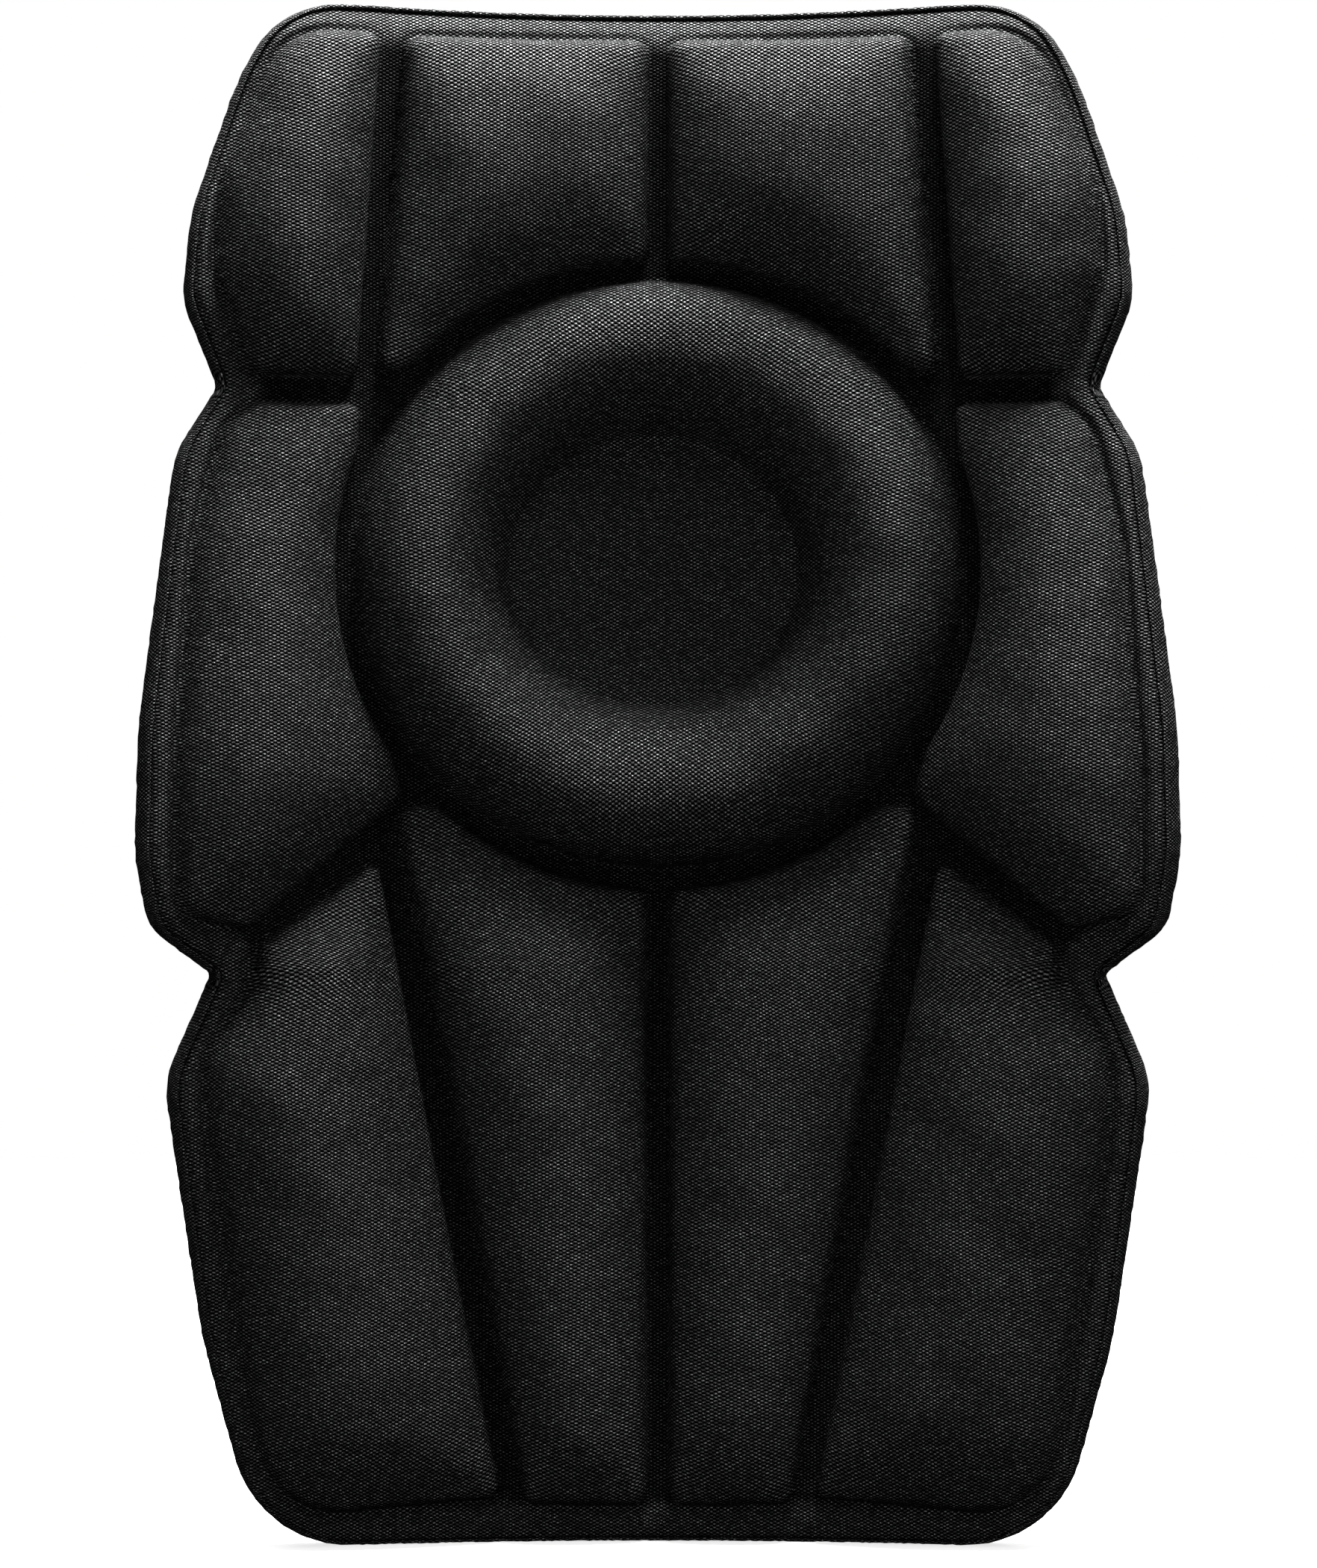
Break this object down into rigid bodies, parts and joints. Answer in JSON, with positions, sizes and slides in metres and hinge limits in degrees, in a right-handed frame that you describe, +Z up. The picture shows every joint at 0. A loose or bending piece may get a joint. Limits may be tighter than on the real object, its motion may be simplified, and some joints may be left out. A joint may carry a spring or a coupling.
{
  "type": "knee pad insert",
  "caption": "Moulded knee pad insert: foam blocks and a ring round the kneecap under one stretched knit face, curved to wrap the leg.",
  "frame": {"origin": "on the ground under the middle of the bounding box, the pad standing on its bottom edge", "axes": "+Z up, towards the end worn above the knee; -Y towards the wearer's leg, the padded side; +X to the right as the padded side is looked at"},
  "size_m": [0.1686, 0.033, 0.25],
  "materials": {
    "knit": "matt black fine knit with a slight sheen on the loops",
    "foam": "matt closed-cell foam",
    "film": "thin matt adhesive film"
  },
  "bodies": {
    "root": {"face_knit": "knit", "base_foam": "foam", "bond_film": "film", "back_foam": "foam", "back_knit": "knit", "knee_ring_pad": "foam", "upper_inner_left_pad": "foam", "upper_inner_right_pad": "foam", "upper_outer_left_pad": "foam", "upper_outer_right_pad": "foam", "side_left_pad": "foam", "side_right_pad": "foam", "lower_inner_left_pad": "foam", "lower_inner_right_pad": "foam", "lower_outer_left_pad": "foam", "lower_outer_right_pad": "foam"}
  },
  "joints": []
}
